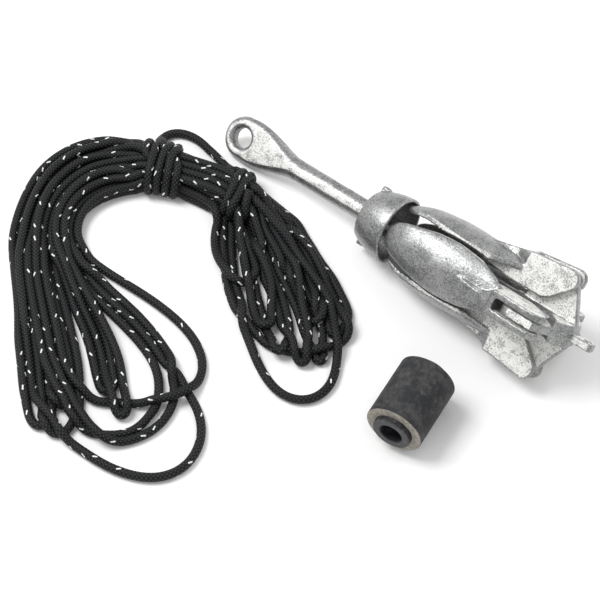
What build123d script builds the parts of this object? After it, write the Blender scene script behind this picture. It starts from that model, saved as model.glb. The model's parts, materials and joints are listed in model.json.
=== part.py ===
from build123d import *
import os
from math import sqrt

# Folding grapnel anchor, folded, resting on its eye and its two lower flukes.
# Millimetres. The anchor is modelled along its own axis first: x runs from the
# eye end to the trip lug, and each fluke is drawn with its hinge pin crossing
# the plane y = 0 and its back towards +z. Then the whole anchor is turned,
# tilted and set down on the floor, z = 0.

# Shank
eye_hole_r = 7.0
eye_outer_r = 15.2
eye_thickness = 10.4
eye_land = 4.0
eye_web_r = 5.0
shoulder_length = 44.0
shoulder_mid_half_width = 11.2
shank_r = 7.5
shank_length = 246.0
tenon_r = 5.0
tenon_length = 20.0

# Sliding collar
collar_start = 127.0
collar_length = 25.0
collar_back_r = 17.2
collar_mouth_r = 24.0
collar_wall = 2.5
collar_base = 5.5
collar_bore_gap = 0.5
collar_lug = 6.0
collar_lug_height = 4.2
collar_lug_hole_r = 1.2

# Flukes. The back's profile is given as (share of the blade's length, share of
# the rise from the tip's radius to the greatest one), the outline as (share of
# the length, share of the half width).
tip_gap = 0.5
blade_tip_r = 19.8
blade_max_r = 29.4
blade_thickness = 3.2
blade_half_width = 19.0
blade_gap = 2.6
back_profile = [
    (0, 0),
    (0.04, 0.2),
    (0.1, 0.46),
    (0.18, 0.69),
    (0.32, 0.9),
    (0.47, 1),
    (0.61, 0.98),
    (0.77, 0.87),
    (0.9, 0.79),
    (1, 0.75),
]
outline_profile = [
    (0.03, 0.42),
    (0.18, 0.71),
    (0.34, 0.9),
    (0.5, 1),
    (0.61, 0.99),
    (0.73, 0.91),
    (0.84, 0.77),
    (0.93, 0.59),
]
fork_half_width = 8.5
slot_half_width = 4.0
crotch = 20.0
rib_start = 27.0
rib_start_half_width = 5.0
rib_bottom_r = 12.8
ridge_start = 58.0
ridge_half_width = 1.5
fork_front = 3.2
fork_front_r = 36.4
cheek_bottom_r = 13.4
cheek_outer_r = 40.0
cheek_past_pin = 15.0
cheek_bottom_corner = 11.0
cheek_corner = 6.5

# Hinge pins, peened flush into countersinks
pin_past_shank = 22.0
pin_r_from_axis = 27.0
pin_r = 3.0
pin_flare_r = 3.8
pin_flare_height = 1.0
pin_running_gap = 0.05

# Crown
web_thickness = 6.0
web_before_pin = 16.0
web_past_pin_r = 10.0
web_corner_r = 9.0
web_end_past_pin = 11.0
web_apex_past_pin = 29.0
hub_r = 8.5
seat_half_width = 7.6
seat_clear_r = 18.8
seat_length = 20.0
seat_top_below_pin = 5.0
seat_step = 0.3
lug_past_apex = 12.0
lug_root_half_width = 6.0
lug_tip_half_width = 4.2
lug_thickness = 5.5
trip_hole_r = 2.2
trip_hole_from_end = 5.0

flukes = 4
first_fluke_angle = 45.0

# Float, a sleeve on a core tube, lying on its side
float_r = 19.5
float_length = 46.0
float_core_r = 13.2
float_bore_r = 7.8
core_past_end = 4.0
float_middle = (84.4, -96.3)
float_turn = 100.0

# The line's hank, as plain solids of its outer shape on the floor
leg_height = 20.0
tie_height = 30.0
bridge_height = 27.0
tie_left_face = [(-190, -54), (-170, -80)]
bridge_left_face = [(-158, -18), (-133, -58)]
bridge_right_face = [(-131, -18), (-118, -60)]
leg_face = [(-106, -18), (-98, -61)]
left_leg_outline = [
    (-212, -66),
    (-223, -90),
    (-223, -115),
    (-213, -146),
    (-190, -182),
    (-160, -205),
    (-131, -230),
    (-104, -257),
    (-88, -268),
    (-66, -268),
    (-34, -255),
    (-4, -245),
    (7, -225),
    (5, -202),
    (-6, -186),
    (-22, -172),
    (-30, -160),
    (-36, -148),
    (-60, -132),
    (-81, -129),
    (-104, -129),
    (-136, -137),
    (-165, -138),
    (-176, -132),
    (-184, -119),
    (-183, -100),
    (-174, -86),
]
right_leg_outline = [
    (-89, -17),
    (-67, -26),
    (-47, -35),
    (-31, -46),
    (-9, -52),
    (6, -62),
    (20, -73),
    (28, -87),
    (36, -103),
    (41, -120),
    (34, -136),
    (18, -142),
    (-1, -140),
    (-20, -131),
    (-35, -119),
    (-51, -110),
    (-69, -99),
    (-84, -95),
    (-101, -81),
    (-112, -64),
]

eye_x = eye_outer_r
pin_x = shank_length + pin_past_shank
web_end = pin_x + web_end_past_pin
web_apex = pin_x + web_apex_past_pin
lug_end = web_apex + lug_past_apex
collar_end = collar_start + collar_length
tip_x = collar_end + tip_gap
crotch_x = pin_x - crotch
blade_length = crotch_x - fork_front + 1 - tip_x
web_r = pin_r_from_axis + web_past_pin_r


def side_face(*edges):
    """A face in the plane y = 0 from edges given as (x, z)."""
    return Plane.XZ * make_face(Curve() + list(edges))


def spun(*edges):
    return revolve(side_face(*edges), Axis.X)


def shank():
    half = eye_thickness / 2
    stations = [
        (eye_x, eye_outer_r, half),
        (eye_x + 0.4 * shoulder_length, eye_outer_r - 0.6, half + 0.2),
        (eye_x + 0.7 * shoulder_length, shoulder_mid_half_width, shank_r - 0.9),
        (eye_x + shoulder_length, shank_r, shank_r),
    ]
    sections = [
        Plane.YZ.offset(x) * RectangleRounded(2 * wide, 2 * thick, 0.96 * min(wide, thick))
        for x, wide, thick in stations
    ]
    neck = loft(sections)
    rod_start = eye_x + shoulder_length
    rod = Plane.YZ.offset(rod_start) * extrude(
        RectangleRounded(2 * shank_r, 2 * shank_r, 0.96 * shank_r), 6
    )
    rod += Plane.YZ.offset(rod_start) * extrude(Circle(shank_r), shank_length - rod_start)
    tenon = Plane.YZ.offset(shank_length) * extrude(Circle(tenon_r), tenon_length)
    # The eye is a ring of oval section round the hole, and the hole's lips are the ring's inside.
    ring_r = (eye_outer_r + eye_hole_r) / 2
    ring_half = (eye_outer_r - eye_hole_r) / 2
    inside = Pos((ring_r + eye_web_r) / 2, 0) * Rectangle(ring_r - eye_web_r, eye_thickness)
    section = Plane.XZ * (Pos(ring_r, 0) * Ellipse(ring_half, half) + inside)
    ring = revolve(section, Axis.Z)
    land = eye_land / 2
    lip_x = ring_r - ring_half * sqrt(0.5)
    lip_z = land + (half - land) * sqrt(0.5)
    bore_face = make_face(
        Curve()
        + [
            ThreePointArc((ring_r, -half), (lip_x, -lip_z), (eye_hole_r, -land)),
            Line((eye_hole_r, -land), (eye_hole_r, land)),
            ThreePointArc((eye_hole_r, land), (lip_x, lip_z), (ring_r, half)),
            Polyline(
                (ring_r, half),
                (ring_r, eye_thickness),
                (0, eye_thickness),
                (0, -eye_thickness),
                (ring_r, -eye_thickness),
                (ring_r, -half),
            ),
        ]
    )
    bore = revolve(Plane.XZ * bore_face, Axis.Z)
    return neck + rod + tenon + Pos(eye_x, 0, 0) * ring - Pos(eye_x, 0, 0) * bore


def crown():
    outline = make_face(
        Polyline(
            (pin_x - web_before_pin, 0),
            (web_apex, 0),
            (web_end, web_r),
            (pin_x - web_before_pin, web_r),
            close=True,
        )
    )
    top_left, top_right = outline.vertices().group_by(Axis.Y)[-1].sort_by(Axis.X)
    outline = fillet(top_left, web_corner_r)
    outline = fillet(outline.vertices().group_by(Axis.Y)[-1].sort_by(Axis.X)[-1], 2)
    web = extrude(Plane.XZ * outline, web_thickness / 2, both=True)
    web -= Pos(pin_x, 0, pin_r_from_axis) * Rot(90, 0, 0) * Cylinder(pin_r + pin_running_gap, 2 * web_thickness)
    # The seat is a thick end behind two of the forks, hollowed so that the cheeks can turn.
    slope = (web_apex - web_end) / web_r
    seat_top = pin_r_from_axis - seat_top_below_pin
    seat_end = web_apex - seat_step
    seat = side_face(
        Polyline(
            (seat_end - seat_length, 0),
            (seat_end, 0),
            (seat_end - slope * seat_top, seat_top),
            (seat_end - seat_length, seat_top),
            close=True,
        )
    )
    seat = extrude(seat, seat_half_width, both=True)
    seat -= Pos(pin_x, 0, pin_r_from_axis) * Rot(90, 0, 0) * Cylinder(seat_clear_r, 3 * seat_half_width)
    sides = side_face(
        Polyline(
            (seat_end - seat_length, seat_top),
            (seat_end - slope * seat_top, seat_top),
            (seat_end, 0),
            (seat_end - slope * seat_top, -seat_top),
            (seat_end - seat_length, -seat_top),
            close=True,
        )
    )
    seat &= Rot(90, 0, 0) * extrude(sides, 2 * seat_top, both=True)
    lug_start = web_apex - 14
    lug = extrude(
        Plane.XZ
        * make_face(
            Polyline(
                (lug_start, -lug_root_half_width),
                (lug_start, lug_root_half_width),
                (web_apex - 4, lug_root_half_width),
                (lug_end, lug_tip_half_width),
                (lug_end, -lug_tip_half_width),
                (web_apex - 4, -lug_root_half_width),
                close=True,
            )
        ),
        lug_thickness / 2,
        both=True,
    )
    lug = fillet(lug.edges().filter_by(Axis.Y).group_by(Axis.X)[-1], 0.6 * lug_tip_half_width)
    lug -= Pos(lug_end - trip_hole_from_end, 0, 0) * Rot(90, 0, 0) * Cylinder(trip_hole_r, 2 * lug_thickness)
    hub_end = web_end - 3
    hub = spun(
        Polyline(
            (shank_length, 0),
            (shank_length, hub_r),
            (hub_end, hub_r),
            (web_apex - 6, lug_root_half_width - 1),
            (web_apex - 6, 0),
            close=True,
        )
    )
    body = hub + lug
    for turn in range(flukes):
        body += Rot(turn * 360 / flukes, 0, 0) * web
    for turn in (0, 180):
        body += Rot(turn, 0, 0) * seat
    return body - Plane.YZ.offset(shank_length) * extrude(Circle(tenon_r), tenon_length)


def collar():
    mouth_inner = collar_mouth_r - collar_wall
    outer = Spline(
        (collar_start, collar_back_r),
        (collar_start + 0.3 * collar_length, collar_back_r + 0.52 * (collar_mouth_r - collar_back_r)),
        (collar_end, collar_mouth_r),
    )
    inner = Spline(
        (collar_end, mouth_inner),
        (collar_start + collar_base + 0.35 * collar_length, mouth_inner - 1.6),
        (collar_start + collar_base, collar_back_r - collar_wall - 1.5),
    )
    bore_r = shank_r + collar_bore_gap
    cup = spun(
        outer,
        Line((collar_end, collar_mouth_r), (collar_end, mouth_inner)),
        inner,
        Polyline(
            (collar_start + collar_base, collar_back_r - collar_wall - 1.5),
            (collar_start + collar_base, bore_r),
            (collar_start, bore_r),
            (collar_start, collar_back_r),
        ),
    )
    cup = fillet(cup.edges().group_by(Axis.X)[-1], 0.8)
    rooted = 4.0
    lug_x = collar_start + collar_lug / 2 + 0.2
    for side in (1, -1):
        lug = Box(collar_lug, collar_lug_height + rooted, 0.75 * collar_lug)
        lug = fillet(lug.edges(), 0.8)
        cup += Pos(lug_x, side * (collar_back_r + (collar_lug_height - rooted) / 2 + 0.5), 0) * lug
        cup -= Pos(lug_x - 0.5, side * (collar_back_r + 2.6), 0) * Cylinder(collar_lug_hole_r, collar_lug)
    return cup


def wedge():
    """The space one fluke may fill between its two neighbours."""
    low = blade_gap * sqrt(0.5)
    far = 3 * blade_max_r
    face = Plane.YZ * make_face(Polyline((0, low), (far, far + low), (-far, far + low), close=True))
    return extrude(face, lug_end)


def blade():
    rise = blade_max_r - blade_tip_r
    back = [(tip_x + along * blade_length, blade_tip_r + up * rise) for along, up in back_profile]
    front = [(x, r - blade_thickness) for x, r in back]
    shell = spun(
        Spline(*back),
        Line(back[-1], front[-1]),
        Spline(*reversed(front)),
        Line(front[0], back[0]),
    )
    end = (tip_x + blade_length, fork_half_width)
    half_outline = Spline(
        (tip_x, 0),
        *[(tip_x + along * blade_length, side * blade_half_width) for along, side in outline_profile],
        end,
        tangents=[(0, 1), (1, -0.3)],
    )
    half = make_face(Curve() + [half_outline, Polyline(end, (end[0], 0), (tip_x, 0))])
    outline = extrude(half + mirror(half, Plane.XZ), 2 * blade_max_r)
    return (shell & outline) & wedge()


def rib():
    """The bar under the blade, from a point near its tip to the fork."""
    start, end = tip_x + rib_start, crotch_x + 4
    middle = (start + end) / 2
    top = blade_max_r - 0.7 * blade_thickness
    side = side_face(
        Spline((start, blade_max_r - 6), (middle, rib_bottom_r + 3), (end, rib_bottom_r)),
        Line((end, rib_bottom_r), (end, top - 2)),
        Spline((end, top - 2), (middle, top), (start, blade_max_r - 3)),
        Line((start, blade_max_r - 3), (start, blade_max_r - 6)),
    )
    return extrude(side, fork_half_width, both=True) & plan(
        start, rib_start_half_width, [(middle - 8, 0.85 * fork_half_width)], middle + 8
    )


def ridge():
    """The raised Y on the blade's back, rising to the fork's front."""
    start, end = tip_x + ridge_start, crotch_x + 4
    front = crotch_x - fork_front
    side = side_face(
        Spline(
            (end, fork_front_r),
            (front, fork_front_r - 1.3),
            (front - 15, fork_front_r - 4.6),
            (start, blade_max_r - 0.8),
        ),
        Polyline(
            (start, blade_max_r - 0.8),
            (start, blade_max_r - blade_thickness),
            (end, blade_max_r - blade_thickness - 3),
            (end, fork_front_r),
        ),
    )
    narrow = ridge_half_width
    shape = plan(start, 0.6 * narrow, [(front - 20, narrow), (front - 8, 1.5 * narrow), (front - 3, 3.4 * narrow)], front)
    return extrude(side, fork_half_width, both=True) & shape


def plan(start, start_half_width, between, full_from):
    """A prism over the outline that widens from its start to the fork's full width."""
    end = crotch_x + 4
    edge = Spline((start, start_half_width), *between, (full_from, fork_half_width))
    rest = Polyline(
        (full_from, fork_half_width), (end, fork_half_width), (end, 0), (start, 0), (start, start_half_width)
    )
    half = make_face(Curve() + [edge, rest])
    return extrude(half + mirror(half, Plane.XZ), 2 * blade_max_r)


def cheeks():
    front, back = crotch_x - fork_front, pin_x + cheek_past_pin
    outline = make_face(
        Polyline(
            (front, cheek_bottom_r),
            (pin_x - 1, cheek_bottom_r),
            (back, pin_r_from_axis + 2),
            (back, cheek_outer_r),
            (front, fork_front_r - 0.3),
            close=True,
        )
    )
    bottom, *past = outline.vertices().sort_by(Axis.X)[2:]
    outline = fillet(bottom, cheek_bottom_corner)
    outline = fillet(outline.vertices().sort_by(Axis.X)[-2:], cheek_corner)
    return extrude(Plane.XZ * outline, fork_half_width, both=True)


def fluke():
    body = blade() + rib() + ridge() + cheeks()
    slot = Box(3 * crotch, 2 * slot_half_width, 4 * cheek_outer_r)
    slot = fillet(slot.edges().filter_by(Axis.Z), 2.0)
    body -= Pos(crotch_x + 1.5 * crotch, 0, 0) * slot
    return body - fluke_pin()


def fluke_pin():
    stem = Cylinder(pin_r, 2 * fork_half_width)
    flare = Cone(pin_r, pin_flare_r, pin_flare_height)
    middle = fork_half_width - pin_flare_height / 2
    pin = stem + Pos(0, 0, middle) * flare + Pos(0, 0, -middle) * Rot(180, 0, 0) * flare
    return Pos(pin_x, 0, pin_r_from_axis) * Rot(90, 0, 0) * pin


def lowest(shape, tilt):
    return (Rot(0, tilt, 0) * shape).bounding_box().min.Z


def rest_tilt(eye_end, lower_fluke):
    """The tilt, in degrees, at which the eye and the lower flukes stand equally low."""
    low, high = -12.0, 0.0
    for _ in range(24):
        tilt = (low + high) / 2
        if lowest(lower_fluke, tilt) < lowest(eye_end, tilt):
            high = tilt
        else:
            low = tilt
    return (low + high) / 2


def anchor():
    one_fluke, one_pin = fluke(), fluke_pin()
    pieces = {"shank": shank(), "crown": crown(), "collar": collar()}
    for number in range(flukes):
        turn = Rot(number * 360 / flukes, 0, 0)
        pieces[f"fluke_{number + 1}"] = turn * one_fluke
        pieces[f"fluke_pin_{number + 1}"] = turn * one_pin
    rolled = {name: Rot(first_fluke_angle, 0, 0) * piece for name, piece in pieces.items()}
    tilt = rest_tilt(rolled["shank"], rolled["fluke_3"])
    tilted = {name: Rot(0, tilt, 0) * piece for name, piece in rolled.items()}
    boxes = [piece.bounding_box() for piece in tilted.values()]
    low_x, high_x = min(box.min.X for box in boxes), max(box.max.X for box in boxes)
    low_y, high_y = min(box.min.Y for box in boxes), max(box.max.Y for box in boxes)
    base = Pos(-(low_x + high_x) / 2, -(low_y + high_y) / 2, -min(box.min.Z for box in boxes))
    placed = {name: base * piece for name, piece in tilted.items()}
    return placed, base * Rot(0, tilt, 0) * Rot(first_fluke_angle, 0, 0)


def slab(outline, height):
    return extrude(make_face(Polyline(outline, close=True)), height)


def line():
    loose_turn = [(-186, -30), (-176, -18)]
    return {
        "line_left_leg": slab([tie_left_face[0], *left_leg_outline, tie_left_face[1]], leg_height),
        "line_left_tie": slab(
            [tie_left_face[0], *loose_turn, *bridge_left_face, tie_left_face[1]], tie_height
        ),
        "line_bridge": slab([*bridge_left_face, *reversed(bridge_right_face)], bridge_height),
        "line_right_tie": slab([*bridge_right_face, *reversed(leg_face)], tie_height),
        "line_right_leg": slab([leg_face[0], *right_leg_outline, leg_face[1]], leg_height),
    }


def line_float():
    sleeve = Cylinder(float_r, float_length) - Cylinder(float_core_r, float_length)
    core_length = float_length + 2 * core_past_end
    core = Cylinder(float_core_r, core_length) - Cylinder(float_bore_r, core_length)
    core = fillet(core.edges().filter_by(GeomType.CIRCLE), 0.9)
    sleeve = fillet(sleeve.edges().filter_by(GeomType.CIRCLE).sort_by(SortBy.RADIUS)[-2:], 0.8)
    lie = Pos(*float_middle, float_r) * Rot(0, 0, float_turn) * Rot(0, 90, 0)
    return {"float_sleeve": lie * sleeve, "float_core": lie * core}


os.makedirs("parts", exist_ok=True)
placed, frame = anchor()
placed.update(line())
placed.update(line_float())
for name, piece in placed.items():
    export_step(piece, f"parts/{name}.step")
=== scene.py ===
import json
from math import cos, pi, radians, sin

import bmesh
import bpy
import numpy as np
from mathutils import Matrix, Vector, kdtree, noise


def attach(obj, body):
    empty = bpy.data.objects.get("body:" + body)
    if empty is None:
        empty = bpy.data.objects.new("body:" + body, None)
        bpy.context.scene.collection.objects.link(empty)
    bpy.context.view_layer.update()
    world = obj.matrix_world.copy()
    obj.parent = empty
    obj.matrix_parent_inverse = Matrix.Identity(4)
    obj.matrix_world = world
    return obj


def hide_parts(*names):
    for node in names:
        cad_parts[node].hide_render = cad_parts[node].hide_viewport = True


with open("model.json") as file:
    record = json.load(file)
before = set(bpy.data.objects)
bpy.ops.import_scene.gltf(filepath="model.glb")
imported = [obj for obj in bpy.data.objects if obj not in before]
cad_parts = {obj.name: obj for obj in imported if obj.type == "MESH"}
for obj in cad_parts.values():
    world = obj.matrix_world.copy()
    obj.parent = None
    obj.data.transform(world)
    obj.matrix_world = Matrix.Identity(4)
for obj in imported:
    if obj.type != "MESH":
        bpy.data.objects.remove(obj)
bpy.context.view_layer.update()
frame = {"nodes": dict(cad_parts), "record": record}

mm = 0.001


def addObject(name, data):
    made = bpy.data.objects.new(name, data)
    bpy.context.scene.collection.objects.link(made)
    return made


def finishForm(form, name):
    mesh = bpy.data.meshes.new(name)
    form.to_mesh(mesh)
    form.free()
    return mesh


def wear(piece, material):
    piece.data.materials.clear()
    piece.data.materials.append(material)


# The camera's angles are in degrees and its distances in metres.
view = {
    "azimuth": 38.336,
    "elevation": 55.848,
    "roll": 2.217,
    "angle": 16.0,
    "distance": 1.42,
    "target": (-0.02781, -0.07192, 0.0),
    "nearest": 0.05,
    "farthest": 20,
}


def makeCamera():
    azimuth, elevation, roll = (radians(view[key]) for key in ("azimuth", "elevation", "roll"))
    back = Vector((cos(elevation) * sin(azimuth), -cos(elevation) * cos(azimuth), sin(elevation)))
    side = Vector((cos(azimuth), sin(azimuth), 0))
    up = back.cross(side)
    right = side * cos(roll) + up * sin(roll)
    top = up * cos(roll) - side * sin(roll)
    camera = addObject("camera", bpy.data.cameras.new("camera"))
    turn = Matrix((right, top, back)).transposed()
    place = Vector(view["target"]) + back * view["distance"]
    camera.matrix_world = Matrix.Translation(place) @ turn.to_4x4()
    camera.data.angle = radians(view["angle"])
    camera.data.clip_start = view["nearest"]
    camera.data.clip_end = view["farthest"]
    bpy.context.scene.camera = camera


makeCamera()
print("camera placed")


# The line lies in a hank: a bundle bound by two ties, with loops at its left and right ends.
# Points are in millimetres, x and y on the floor and z above it. A station is a pair of
# points across the bundle, on the outer and the inner side of the hank's bend. A share of
# 0 lies at the outer point and 1 at the inner one.
line = {
    "diameter": 6.0,
    "sides": 10,
    "routeDetail": 6,
    "spacing": 4.0,
    "pathDetail": 2,
    "tipInset": 0.35,
    "tipRise": 0.2,
    "start": [(-40, -66, 6), (-70, -52, 10)],
    "startShare": 0.3,
    "bundleRows": 4,
    "bundleBase": 9.0,
    "rowPitch": 5.0,
    "turnBase": 4,
    "turnPitch": 1.1,
    "legRise": 2,
    "leftStations": [
        ((-199, -49), (-173, -79)),
        ((-218, -64), (-180, -88)),
        ((-230, -85), (-186, -101)),
        ((-226, -121), (-187, -122)),
        ((-203, -163), (-172, -142)),
    ],
    "tieStations": [
        ((-183, -50), (-170, -72)),
        ((-153, -35), (-143, -57)),
        ((-126, -26), (-118, -52)),
        ((-108, -26), (-101, -51)),
    ],
    "pointsPerWrap": 16,
    "leftWraps": {
        "from": (-178, -62),
        "to": (-153, -49),
        "turns": 4,
        "halfWidth": 16.5,
        "halfHeight": 13.5,
        "skew": 2.0,
    },
    "rightWraps": {
        "from": (-117, -40),
        "to": (-105, -38),
        "turns": 3,
        "halfWidth": 17.0,
        "halfHeight": 13.5,
        "skew": 8.0,
    },
    "looseArc": [
        (-186, -46, 22), (-190, -30, 10), (-184, -19, 6), (-169, -15, 6), (-154, -18, 8), (-141, -21, 14),
        (-128, -24, 22),
    ],
}

# A turn is one loop at an end of the hank: the share where it leaves the bundle, the share
# where it comes back, and its points on the floor.
leftTurns = {
    "a1": (0.0, 0.45, [
        (-178, -186), (-147, -212), (-105, -253), (-88, -263), (-82, -255), (-90, -240), (-116, -211),
        (-147, -186),
    ]),
    "a3": (0.08, 0.5, [
        (-181, -175), (-145, -198), (-110, -227), (-84, -244), (-82, -235), (-103, -213), (-136, -189),
    ]),
    "a2": (0.15, 0.6, [
        (-165, -188), (-127, -221), (-95, -249), (-74, -260), (-68, -250), (-75, -231), (-106, -203),
        (-141, -181),
    ]),
    "c2": (0.1, 0.95, [
        (-145, -210), (-107, -242), (-83, -255), (-63, -252), (-34, -251), (-6, -239), (4, -218),
        (-3, -195), (-17, -182), (-37, -174), (-63, -167), (-93, -159), (-123, -156), (-145, -157),
    ]),
    "b1": (0.25, 0.8, [
        (-156, -194), (-114, -223), (-83, -238), (-61, -241), (-43, -234), (-38, -213), (-46, -187),
        (-66, -171), (-97, -165), (-127, -162),
    ]),
    "m2": (0.65, 0.75, [
        (-139, -173), (-107, -190), (-86, -207), (-67, -218), (-73, -203), (-97, -181), (-128, -168),
    ]),
    "b2": (0.3, 0.9, [
        (-145, -198), (-103, -225), (-73, -240), (-50, -239), (-34, -223), (-29, -202), (-39, -179),
        (-62, -163), (-88, -154), (-122, -150), (-147, -153),
    ]),
    "c1": (0.5, 1.0, [
        (-132, -199), (-97, -220), (-76, -225), (-64, -211), (-46, -199), (-33, -183), (-32, -163),
        (-43, -149), (-65, -139), (-100, -137), (-134, -141), (-162, -142),
    ]),
    "m1": (0.7, 0.85, [
        (-139, -168), (-101, -184), (-76, -206), (-48, -225), (-49, -214), (-80, -192), (-110, -174),
        (-141, -164),
    ]),
}

rightTurns = {
    "d": (0.35, 0.0, [
        (-62, -43), (-16, -68), (12, -86), (18, -81), (9, -65), (-8, -54), (-41, -41), (-69, -29),
    ]),
    "c": (0.45, 0.2, [(-68, -49), (-17, -83), (16, -109), (21, -107), (9, -89), (-18, -65), (-63, -39)]),
    "i": (0.5, 0.1, [(-76, -45), (-31, -71), (0, -89), (2, -79), (-26, -56), (-70, -34)]),
    "f": (1.0, 0.15, [
        (-101, -72), (-76, -92), (-46, -111), (-20, -116), (5, -106), (17, -90), (18, -72), (2, -61),
        (-17, -53), (-53, -37),
    ]),
    "a": (0.75, 0.6, [(-84, -63), (-49, -92), (-20, -113), (-3, -122), (-1, -114), (-23, -91), (-64, -62)]),
    "b": (0.6, 0.4, [(-77, -57), (-23, -96), (8, -116), (16, -115), (2, -96), (-33, -67), (-70, -45)]),
    "e": (0.9, 0.3, [
        (-98, -64), (-65, -96), (-38, -115), (-15, -131), (11, -141), (30, -133), (35, -113), (23, -93),
        (2, -74), (-34, -52),
    ]),
    "g": (1.0, 0.9, [(-110, -65), (-93, -82), (-72, -94), (-56, -94), (-57, -80), (-74, -66), (-92, -59)]),
    "h": (0.85, 0.7, [(-89, -62), (-45, -100), (-23, -115), (-24, -102), (-46, -79), (-77, -57)]),
}
turnOrder = [
    "a1", "d", "a3", "c", "a2", "i", "c2", "f", "b1", "a", "m2", "b", "b2", "e", "c1", "g", "m1", "h",
]

# How the strands settle. Each step sinks them, pushes apart those that touch, evens out
# their length, smooths them and pulls them back towards where they were laid. A bend is the
# distance in millimetres of a point from the middle of its neighbours. The shank's eye lies
# over the floor at eyeX, and no strand passes beyond besideEyeY there.
settling = {
    "steps": 170,
    "pairsEvery": 6,
    "reach": 1.5,
    "apart": 0.99,
    "skip": 3,
    "sink": 0.12,
    "push": 0.32,
    "even": 0.25,
    "smooth": 0.25,
    "sharpBend": 0.7,
    "unbend": 0.5,
    "pullBack": 0.03,
    "eyeX": -128,
    "eyeReach": 32,
    "besideEyeY": -18.5,
    "tiny": 1e-6,
}


def across(station, share):
    (ax, ay), (bx, by) = station
    return ax + (bx - ax) * share, ay + (by - ay) * share


# A tie's windings, from one side of the tie to the other.
def wrapPoints(wrap):
    start = Vector((*wrap["from"], 0))
    end = Vector((*wrap["to"], 0))
    along = (end - start).normalized()
    side = Vector((along.y, -along.x, 0))
    steps = line["pointsPerWrap"] * wrap["turns"]
    middle = line["diameter"] / 2 + wrap["halfHeight"]
    points = []
    for i in range(steps + 1):
        turn = 2 * pi * i / line["pointsPerWrap"] + pi * 0.5
        at = start.lerp(end, i / steps)
        at += side * (wrap["halfWidth"] * cos(turn))
        at += along * (wrap["skew"] * cos(turn))
        points.append((at.x, at.y, middle + wrap["halfHeight"] * sin(turn)))
    return points


# The line goes through the bundle once between turns. Each pass takes its own place in it:
# the passes are ranked by their shares, and every fourth lies in the same row.
def lineRoute():
    turns = {**leftTurns, **rightTurns}
    passes = []
    for i, name in enumerate(turnOrder):
        before = turns[turnOrder[i - 1]][1] if i else line["startShare"]
        passes.append((before + turns[name][0]) / 2)
    passes.append(turns[turnOrder[-1]][1])
    count = len(passes)
    rank = {p: r for r, p in enumerate(sorted(range(count), key=lambda p: passes[p]))}
    route = list(line["start"])
    for i in range(count):
        share = (rank[i] + 0.5) / count
        height = line["bundleBase"] + line["rowPitch"] * (rank[i] % line["bundleRows"])
        middle = [(*across(station, share), height) for station in line["tieStations"]]
        goingLeft = i % 2 == 0
        if goingLeft:
            middle.reverse()
        if i == count - 1:
            route += middle[:-1]
            break
        route += middle
        lift = line["turnBase"] + line["turnPitch"] * i
        outShare, backShare, points = turns[turnOrder[i]]
        loop = [(x, y, lift) for x, y in points]
        if goingLeft:
            legLift = lift + line["legRise"]
            outward = [(*across(s, outShare), legLift) for s in line["leftStations"]]
            homeward = [(*across(s, backShare), legLift) for s in reversed(line["leftStations"])]
            loop = outward + loop + homeward
        route += loop
    route += wrapPoints(line["leftWraps"])
    route += line["looseArc"]
    route += wrapPoints(line["rightWraps"])
    return np.array(route, float)


# Takes control points in millimetres and gives points along their spline in metres.
def smoothPath(points, detail):
    data = bpy.data.curves.new("line_route", "CURVE")
    data.dimensions = "3D"
    data.resolution_u = detail
    spline = data.splines.new("NURBS")
    spline.points.add(len(points) - 1)
    for point, place in zip(spline.points, points):
        point.co = (*(Vector(place) * mm), 1)
    spline.order_u = 3
    spline.use_endpoint_u = True
    curve = addObject("line_route", data)
    mesh = bpy.data.meshes.new_from_object(curve)
    path = [v.co.copy() for v in mesh.vertices]
    bpy.data.objects.remove(curve)
    return path


# Takes a path in metres and gives evenly spaced points in millimetres.
def evenPoints(path, spacing):
    points = np.array([p / mm for p in path])
    gaps = np.linalg.norm(np.diff(points, axis=0), axis=1)
    run = np.concatenate([[0], np.cumsum(gaps)])
    steps = np.linspace(0, run[-1], int(run[-1] / spacing) + 1)
    return np.stack([np.interp(steps, run, points[:, k]) for k in range(3)], 1)


def nearPairs(points, reach):
    tree = kdtree.KDTree(len(points))
    for i, p in enumerate(points):
        tree.insert(p, i)
    tree.balance()
    pairs = []
    for i, p in enumerate(points):
        pairs += [(i, j) for _, j, _ in tree.find_range(p, reach) if j > i + settling["skip"]]
    return np.array(pairs, int).T


def settle(points):
    d = line["diameter"]
    laid = points.copy()
    rest = np.linalg.norm(np.diff(points, axis=0), axis=1).mean()
    for step in range(settling["steps"]):
        if step % settling["pairsEvery"] == 0:
            first, second = nearPairs(points, settling["reach"] * d)
        points[:, 2] -= settling["sink"]
        gap = points[second] - points[first]
        far = np.maximum(np.linalg.norm(gap, axis=1), settling["tiny"])
        push = np.maximum(d * settling["apart"] - far, 0) * settling["push"]
        shift = gap / far[:, None] * push[:, None]
        np.add.at(points, first, -shift)
        np.add.at(points, second, shift)
        run = np.diff(points, axis=0)
        length = np.maximum(np.linalg.norm(run, axis=1), settling["tiny"])
        fix = run / length[:, None] * (length - rest)[:, None] * settling["even"]
        points[:-1] += fix
        points[1:] -= fix
        smooth = 0.5 * (points[:-2] + points[2:]) - points[1:-1]
        points[1:-1] += smooth * settling["smooth"]
        bend = np.maximum(np.linalg.norm(smooth, axis=1), settling["tiny"])
        sharp = np.maximum(bend - settling["sharpBend"], 0) / bend
        points[1:-1] += smooth * sharp[:, None] * settling["unbend"]
        points[:, :2] += (laid[:, :2] - points[:, :2]) * settling["pullBack"]
        points[:, 2] = np.maximum(points[:, 2], d / 2)
        nearEye = abs(points[:, 0] - settling["eyeX"]) < settling["eyeReach"]
        points[nearEye & (points[:, 1] > settling["besideEyeY"]), 1] = settling["besideEyeY"]
    return points


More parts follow.
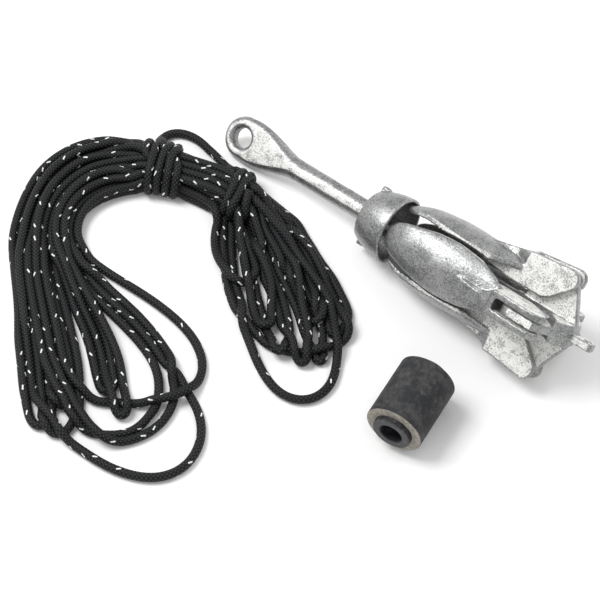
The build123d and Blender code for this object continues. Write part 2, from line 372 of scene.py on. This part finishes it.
# A round tube along a path. Its UV map is in millimetres along and turns around.
def tubeMesh(name, path, radius, sides):
    form = bmesh.new()
    uvLayer = form.loops.layers.uv.new("along")
    last = len(path) - 1
    tangents = [(path[min(i + 1, last)] - path[max(i - 1, 0)]).normalized() for i in range(len(path))]
    angles = [2 * pi * k / sides for k in range(sides)]
    side = tangents[0].orthogonal().normalized()
    rings = []
    runs = []
    run = 0.0
    for i, (p, t) in enumerate(zip(path, tangents)):
        side = (side - t * side.dot(t)).normalized()
        other = t.cross(side)
        rings.append([form.verts.new(p + (side * cos(a) + other * sin(a)) * radius) for a in angles])
        run += (p - path[i - 1]).length if i else 0
        runs.append(run)
    for i in range(last):
        for k in range(sides):
            n = (k + 1) % sides
            face = form.faces.new((rings[i][k], rings[i][n], rings[i + 1][n], rings[i + 1][k]))
            face.smooth = True
            for loop, (a, b) in zip(face.loops, ((i, k), (i, k + 1), (i + 1, k + 1), (i + 1, k))):
                loop[uvLayer].uv = (runs[a] / mm, b / sides)
    for ring in (rings[0][::-1], rings[-1]):
        tip = [form.faces.new(ring)]
        inset = radius * line["tipInset"]
        rise = radius * line["tipRise"]
        bmesh.ops.inset_region(form, faces=tip, thickness=inset, depth=rise)
    return addObject(name, finishForm(form, name)), run


settled = settle(evenPoints(smoothPath(lineRoute(), line["routeDetail"]), line["spacing"]))
linePath = smoothPath(settled, line["pathDetail"])
lineTube, lineLength = tubeMesh("line", linePath, line["diameter"] / 2 * mm, line["sides"])
lineNodes = ["line_left_leg", "line_left_tie", "line_bridge", "line_right_tie", "line_right_leg"]
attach(lineTube, "root")
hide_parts(*lineNodes)
print("line laid, metres:", round(lineLength, 2), "top mm", round(settled[:, 2].max(), 1))
print("line faces", len(lineTube.data.polygons))


# A node's output. Arithmetic on it adds Math nodes.
class Sock:
    def __init__(self, shade, socket):
        self.shade = shade
        self.socket = socket

    def join(self, kind, first, second):
        return self.shade.node("ShaderNodeMath", {"operation": kind}, {0: first, 1: second})

    def __add__(self, other):
        return self.join("ADD", self, other)

    def __radd__(self, other):
        return self.join("ADD", other, self)

    def __sub__(self, other):
        return self.join("SUBTRACT", self, other)

    def __rsub__(self, other):
        return self.join("SUBTRACT", other, self)

    def __mul__(self, other):
        return self.join("MULTIPLY", self, other)

    def __rmul__(self, other):
        return self.join("MULTIPLY", other, self)

    def __truediv__(self, other):
        return self.join("DIVIDE", self, other)

    def __rtruediv__(self, other):
        return self.join("DIVIDE", other, self)


class Shade:
    def __init__(self, name, **fixed):
        self.material = bpy.data.materials.new(name)
        self.material.use_nodes = True
        self.tree = self.material.node_tree
        self.shader = self.tree.nodes["Principled BSDF"]
        for key, value in fixed.items():
            self.shader.inputs[key.replace("_", " ")].default_value = value

    # Makes a node: its settings first, then its sockets, by name or by number where names
    # repeat. A colour socket that gets three numbers is made opaque.
    def node(self, kind, settings, sockets, out=0):
        made = self.tree.nodes.new(kind)
        for key, value in settings.items():
            setattr(made, key, value)
        for key, value in sockets.items():
            socket = made.inputs[key]
            if isinstance(value, Sock):
                self.tree.links.new(value.socket, socket)
            elif socket.type == "RGBA":
                socket.default_value = (*value, 1)
            else:
                socket.default_value = value
        return Sock(self, made.outputs[out])

    def math(self, kind, value):
        return self.node("ShaderNodeMath", {"operation": kind}, {0: value})

    def noise(self, at, scale, detail, rough):
        sockets = {"Vector": at, "Scale": scale, "Detail": detail, "Roughness": rough}
        return self.node("ShaderNodeTexNoise", {}, sockets)

    # A number from 0 to 1, drawn anew for each value.
    def draw(self, value):
        return self.node("ShaderNodeTexWhiteNoise", {"noise_dimensions": "1D"}, {"W": value}, "Value")

    def cells(self, at, scale):
        return self.node("ShaderNodeTexVoronoi", {}, {"Vector": at, "Scale": scale}, "Distance")

    def fade(self, value, low, high, to=(0.0, 1.0)):
        sockets = {0: value, 1: low, 2: high, 3: to[0], 4: to[1]}
        return self.node("ShaderNodeMapRange", {"interpolation_type": "SMOOTHSTEP"}, sockets)

    def mix(self, factor, first, second):
        return self.node("ShaderNodeMix", {"data_type": "RGBA"}, {0: factor, 6: first, 7: second}, 2)

    def blend(self, socks, weights):
        total = socks[0] * weights[0]
        for sock, weight in zip(socks[1:], weights[1:]):
            total = total + sock * weight
        return total

    # How squarely the surface faces along an axis, 0 to 1, either way round.
    def facing(self, axis):
        normal = self.node("ShaderNodeTexCoord", {}, {}, "Normal")
        dot = self.node("ShaderNodeVectorMath", {"operation": "DOT_PRODUCT"}, {0: normal, 1: axis}, "Value")
        return self.math("ABSOLUTE", dot)

    def place(self):
        return self.node("ShaderNodeTexCoord", {}, {}, "Object")

    def feed(self, colour, roughness, height, strength, distance, metallic=None):
        self.tree.links.new(colour.socket, self.shader.inputs["Base Color"])
        self.tree.links.new(roughness.socket, self.shader.inputs["Roughness"])
        if metallic is not None:
            self.tree.links.new(metallic.socket, self.shader.inputs["Metallic"])
        sockets = {"Height": height, "Strength": strength, "Distance": distance}
        bump = self.node("ShaderNodeBump", {}, sockets)
        self.tree.links.new(bump.socket, self.shader.inputs["Normal"])
        return self.material


# Galvanised castings: a satin grey skin, with bright crystals and dark pits on the flat faces, whose
# paleness is partly painted light.
# A noise is its scale, detail and roughness. A fade is where it starts and ends, then its
# two values if they aren't 0 and 1. A blend is its parts' weights.
iron = {
    "weld": 1e-6,
    "voxel": 0.0008,
    "soften": 0.5,
    "softenSteps": 4,
    "lumps": 0.00022,
    "lumpSize": 0.011,
    "specular": 0.5,
    "dull": (0.19, 0.195, 0.196),
    "grey": (0.39, 0.395, 0.39),
    "bright": (0.86, 0.86, 0.83),
    "dark": (0.02, 0.021, 0.022),
    "wide": (38, 2, 0.55),
    "medium": (150, 3, 0.6),
    "grain": (900, 4, 0.7),
    "cells": 1500,
    "pits": (1050, 3, 0.65),
    "patches": (75, 3, 0.6),
    "flatFade": (0.955, 0.99),
    "sheenFade": (0.36, 0.6),
    "sheenBlend": (0.2, 0.25, 0.55),
    "glintFade": (0.5, 0.8, (0.0, 0.5)),
    "speckFade": (0.46, 0.3, (0.0, 0.55)),
    "crystalFade": (0.4, 0.53),
    "crystalBlend": (0.6, 0.4),
    "pitFade": (0.4, 0.34),
    "pitShare": 0.95,
    "patchFade": (0.24, 0.36),
    "rough": 0.24,
    "roughBlend": (0.2, 0.18),
    "metal": 0.8,
    "flatMetal": -0.5,
    "heightBlend": (0.6, 0.6, 0.25, -0.5),
    "bumpStrength": 0.5,
    "bumpDistance": 0.0005,
}


# The surface counts as flat where it faces along one of the directions in flats.
def ironMaterial(name, flats):
    shade = Shade(name, Specular_IOR_Level=iron["specular"])
    at = shade.place()
    wide = shade.noise(at, *iron["wide"])
    medium = shade.noise(at, *iron["medium"])
    grain = shade.noise(at, *iron["grain"])
    fine = shade.cells(at, iron["cells"])
    flat = 0
    for axis in flats:
        flat = shade.fade(shade.facing(axis), *iron["flatFade"]) + flat
    flat = shade.fade(flat, 0.0, 1.0)
    sheen = shade.fade(shade.blend((wide, medium, grain), iron["sheenBlend"]), *iron["sheenFade"])
    skin = shade.mix(sheen, iron["dull"], iron["grey"])
    skin = shade.mix(shade.fade(grain, *iron["glintFade"]), skin, iron["bright"])
    skin = shade.mix(shade.fade(grain, *iron["speckFade"]), skin, iron["dark"])
    crystals = shade.fade(shade.blend((grain, medium), iron["crystalBlend"]), *iron["crystalFade"])
    # The flat faces' colour: the zinc's own speckle and pits, on a pale ground that is partly painted
    # light. It also falls on a blade's crest that faces the same way.
    zincAndPaintedLight = shade.mix(crystals, iron["grey"], iron["bright"])
    pits = shade.fade(shade.noise(at, *iron["pits"]), *iron["pitFade"])
    zincAndPaintedLight = shade.mix(pits * iron["pitShare"], zincAndPaintedLight, iron["dark"])
    patches = shade.fade(shade.noise(at, *iron["patches"]), *iron["patchFade"])
    colour = shade.mix(flat * patches, skin, zincAndPaintedLight)
    rough = iron["rough"] + shade.blend((grain, flat), iron["roughBlend"])
    metal = iron["metal"] + flat * iron["flatMetal"]
    height = shade.blend((grain, medium, fine, pits), iron["heightBlend"])
    return shade.feed(colour, rough, height, iron["bumpStrength"], iron["bumpDistance"], metal)


# A copy of a casting and the pin galvanised into it, with a mould's soft edges and faint lumps.
def castCopy(name, pin):
    nodes = [name, pin] if pin else [name]
    form = bmesh.new()
    for node in nodes:
        form.from_mesh(frame["nodes"][node].data)
    bmesh.ops.remove_doubles(form, verts=form.verts, dist=iron["weld"])
    cast = addObject(name + "_cast", finishForm(form, name + "_cast"))
    remesh = cast.modifiers.new("skin", "REMESH")
    remesh.mode = "VOXEL"
    remesh.voxel_size = iron["voxel"]
    smooth = cast.modifiers.new("soften", "SMOOTH")
    smooth.factor = iron["soften"]
    smooth.iterations = iron["softenSteps"]
    bpy.context.view_layer.update()
    shaped = bpy.data.meshes.new_from_object(cast.evaluated_get(bpy.context.evaluated_depsgraph_get()))
    cast.modifiers.clear()
    form = bmesh.new()
    form.from_mesh(shaped)
    form.normal_update()
    for v in form.verts:
        v.co += v.normal * (noise.noise(v.co / iron["lumpSize"]) * iron["lumps"])
    for face in form.faces:
        face.smooth = True
    form.to_mesh(shaped)
    form.free()
    cast.data = shaped
    shaped.name = name + "_cast"
    bodies = frame["record"]["behaviour"]["bodies"]
    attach(cast, next(body for body, names in bodies.items() if name in names))
    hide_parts(*nodes)
    return cast


# The flukes turn about two directions, square to the anchor's axis and to each other. The
# castings' flat faces look along them.
hinges = {joint["name"]: joint["axis"] for joint in frame["record"]["behaviour"]["joints"]}
hingeOdd = hinges["fluke_1_hinge"]
hingeEven = hinges["fluke_2_hinge"]
flatsOf = {
    "shank": [hingeEven],
    "crown": [hingeOdd, hingeEven],
    "collar": [],
    "fluke_1": [hingeOdd],
    "fluke_2": [hingeEven],
    "fluke_3": [hingeOdd],
    "fluke_4": [hingeEven],
}
ironOf = {}
for name, flats in flatsOf.items():
    pin = name.replace("fluke", "fluke_pin") if name.startswith("fluke") else None
    cast = castCopy(name, pin)
    key = str(flats)
    if key not in ironOf:
        ironOf[key] = ironMaterial("galvanised iron " + str(len(ironOf) + 1), flats)
    wear(cast, ironOf[key])
    print(name, "faces", len(cast.data.polygons))
print("iron done")


# The float: a foam rubber sleeve, paler where it was cut, on a hard core. The turn is the
# direction of its axis on the floor, in degrees.
rubber = {
    "turn": 100.0,
    "side": (0.017, 0.018, 0.02),
    "worn": (0.058, 0.057, 0.058),
    "scuffed": (0.2, 0.195, 0.19),
    "endShade": 0.6,
    "end": (0.36, 0.335, 0.29),
    "blotches": (75, 4, 0.65),
    "streaks": (330, 4, 0.7),
    "cells": (520, 3, 0.6),
    "specular": 0.35,
    "wornBlend": (0.6, 0.4),
    "wornFade": (0.42, 0.62),
    "scuffFade": (0.6, 0.75, (0.0, 0.35)),
    "cutFade": (0.6, 0.8),
    "cellFade": (0.35, 0.65),
    "rough": 0.62,
    "roughStreaks": 0.25,
    "cellHeight": 0.4,
    "bumpStrength": 0.5,
    "bumpDistance": 0.0005,
}
core = {
    # The first colour is painted shade, laid on the core's bore and recess walls.
    "bore": (0.012, 0.012, 0.014),
    "face": (0.05, 0.048, 0.056),
    "pale": (0.14, 0.14, 0.155),
    "mottle": (260, 4, 0.65),
    "specular": 0.4,
    "faceFade": (0.3, 0.8),
    "paleFade": (0.5, 0.7, (0.0, 0.4)),
    "rough": 0.5,
    "roughMottle": 0.2,
    "bumpStrength": 0.4,
    "bumpDistance": 0.0004,
}
floatAxis = (cos(radians(rubber["turn"])), sin(radians(rubber["turn"])), 0.0)


def sleeveMaterial():
    shade = Shade("closed foam rubber", Specular_IOR_Level=rubber["specular"])
    at = shade.place()
    blotches = shade.noise(at, *rubber["blotches"])
    streaks = shade.noise(at, *rubber["streaks"])
    worn = shade.fade(shade.blend((blotches, streaks), rubber["wornBlend"]), *rubber["wornFade"])
    side = shade.mix(worn, rubber["side"], rubber["worn"])
    side = shade.mix(shade.fade(streaks, *rubber["scuffFade"]), side, rubber["scuffed"])
    cut = shade.fade(shade.facing(floatAxis), *rubber["cutFade"])
    cells = shade.fade(shade.noise(at, *rubber["cells"]), *rubber["cellFade"])
    end = shade.mix(cells, [rubber["endShade"] * c for c in rubber["end"]], rubber["end"])
    rough = rubber["rough"] + streaks * rubber["roughStreaks"]
    height = streaks + cells * rubber["cellHeight"]
    colour = shade.mix(cut, side, end)
    return shade.feed(colour, rough, height, rubber["bumpStrength"], rubber["bumpDistance"])


def coreMaterial():
    shade = Shade("float core", Specular_IOR_Level=core["specular"])
    at = shade.place()
    mottle = shade.noise(at, *core["mottle"])
    face = shade.fade(shade.facing(floatAxis), *core["faceFade"])
    # Faces along the axis keep the core's grey. The bore and recess walls are painted near black as shade.
    colour = shade.mix(face, core["bore"], core["face"])
    colour = shade.mix(shade.fade(mottle, *core["paleFade"]), colour, core["pale"])
    rough = core["rough"] + mottle * core["roughMottle"]
    return shade.feed(colour, rough, mottle, core["bumpStrength"], core["bumpDistance"])


wear(frame["nodes"]["float_sleeve"], sleeveMaterial())
wear(frame["nodes"]["float_core"], coreMaterial())
print("float done")


# The line's black braid with white flecks. Lengths are in millimetres and the tilt in
# degrees. Each length of fleckEvery holds one fleck, at its own place along and around.
braid = {
    "specular": 0.3,
    # The gap colour is painted shade between the strands. The strand colour is the braid's own black,
    # lightened as a painted highlight on the strands' crests.
    "gap": (0.0003, 0.0003, 0.0005),
    "strand": (0.038, 0.041, 0.045),
    "fleck": (0.85, 0.86, 0.86),
    "pick": 5.6,
    "picksRound": 6,
    "strandFade": (0.38, 1.0),
    "fleckEvery": 9.0,
    "fleckFrom": 0.3,
    "fleckSpread": 0.4,
    "fleckLength": 3.4,
    "fleckWidth": 1.2,
    "lengthEdge": 0.3,
    "widthEdge": 0.2,
    "fleckTilt": 28.0,
    "secondDraw": 0.37,
    "handFade": (0.49, 0.51, (-1.0, 1.0)),
    "centreTurns": 3.5,
    "rough": 0.6,
    "strandShine": 0.15,
    "fleckHeight": 0.3,
    "bumpStrength": 0.8,
    "bumpDistance": 0.0006,
}


def braidMaterial():
    shade = Shade("black braid", Specular_IOR_Level=braid["specular"])
    spot = shade.node("ShaderNodeUVMap", {"uv_map": "along"}, {}, "UV")
    along = shade.node("ShaderNodeSeparateXYZ", {}, {0: spot}, "X")
    around = shade.node("ShaderNodeSeparateXYZ", {}, {0: spot}, "Y")
    picks = along / braid["pick"]
    turns = around * (braid["picksRound"] / 2)
    leftHand = shade.math("SINE", (picks + turns) * (2 * pi))
    rightHand = shade.math("SINE", (picks - turns) * (2 * pi))
    strands = shade.fade(shade.math("ABSOLUTE", leftHand * rightHand), *braid["strandFade"])
    # The strands' crests take the lighter colour as a painted highlight, and the gaps between them take
    # near black as painted shade.
    colour = shade.mix(strands, braid["gap"], braid["strand"])
    cell = shade.math("FLOOR", along / braid["fleckEvery"])
    chance = shade.draw(cell)
    chance2 = shade.draw(cell + braid["secondDraw"])
    middle = (cell + braid["fleckFrom"] + chance2 * braid["fleckSpread"]) * braid["fleckEvery"]
    offset = along - middle
    sideways = (shade.math("FRACT", around - chance + braid["centreTurns"]) - 0.5) * (pi * line["diameter"])
    hand = shade.fade(chance2, *braid["handFade"])
    c = cos(radians(braid["fleckTilt"]))
    s = sin(radians(braid["fleckTilt"]))
    lengthwise = shade.math("ABSOLUTE", offset * c + sideways * s * hand)
    crosswise = shade.math("ABSOLUTE", sideways * c - offset * s * hand)
    halfLength = braid["fleckLength"] / 2
    halfWidth = braid["fleckWidth"] / 2
    fleck = shade.fade(lengthwise, halfLength, halfLength - braid["lengthEdge"])
    fleck = fleck * shade.fade(crosswise, halfWidth, halfWidth - braid["widthEdge"])
    colour = shade.mix(fleck, colour, braid["fleck"])
    rough = braid["rough"] - strands * braid["strandShine"]
    height = strands + fleck * braid["fleckHeight"]
    return shade.feed(colour, rough, height, braid["bumpStrength"], braid["bumpDistance"])


wear(lineTube, braidMaterial())
print("braid done")


# Each light is its place in metres, its size and its power in watts.
studio = {
    "floorSize": 4,
    "floor": (0.95, 0.95, 0.95),
    "floorRough": 0.9,
    "sky": 0.6,
    "lights": {
        "key": ((-0.75, -0.35, 1.25), 0.7, 16.0),
        "fill": ((1.1, -1.0, 0.9), 1.2, 2.0),
        "rim": ((0.3, 1.1, 0.8), 0.8, 6.0),
    },
}


def makeStudio():
    form = bmesh.new()
    bmesh.ops.create_grid(form, x_segments=1, y_segments=1, size=studio["floorSize"])
    floor = addObject("floor", finishForm(form, "floor"))
    paint = Shade("pale floor", Base_Color=(*studio["floor"], 1), Roughness=studio["floorRough"])
    wear(floor, paint.material)
    world = bpy.data.worlds.new("studio")
    world.use_nodes = True
    background = world.node_tree.nodes["Background"]
    background.inputs["Color"].default_value = (1, 1, 1, 1)
    background.inputs["Strength"].default_value = studio["sky"]
    bpy.context.scene.world = world
    for name, (place, size, power) in studio["lights"].items():
        light = addObject(name, bpy.data.lights.new(name, "AREA"))
        light.data.size = size
        light.data.energy = power
        light.location = place
        aim = Vector(view["target"]) - Vector(place)
        light.rotation_euler = aim.to_track_quat("-Z", "Y").to_euler()


makeStudio()
bpy.context.scene.view_settings.view_transform = "Standard"
print("studio lit")
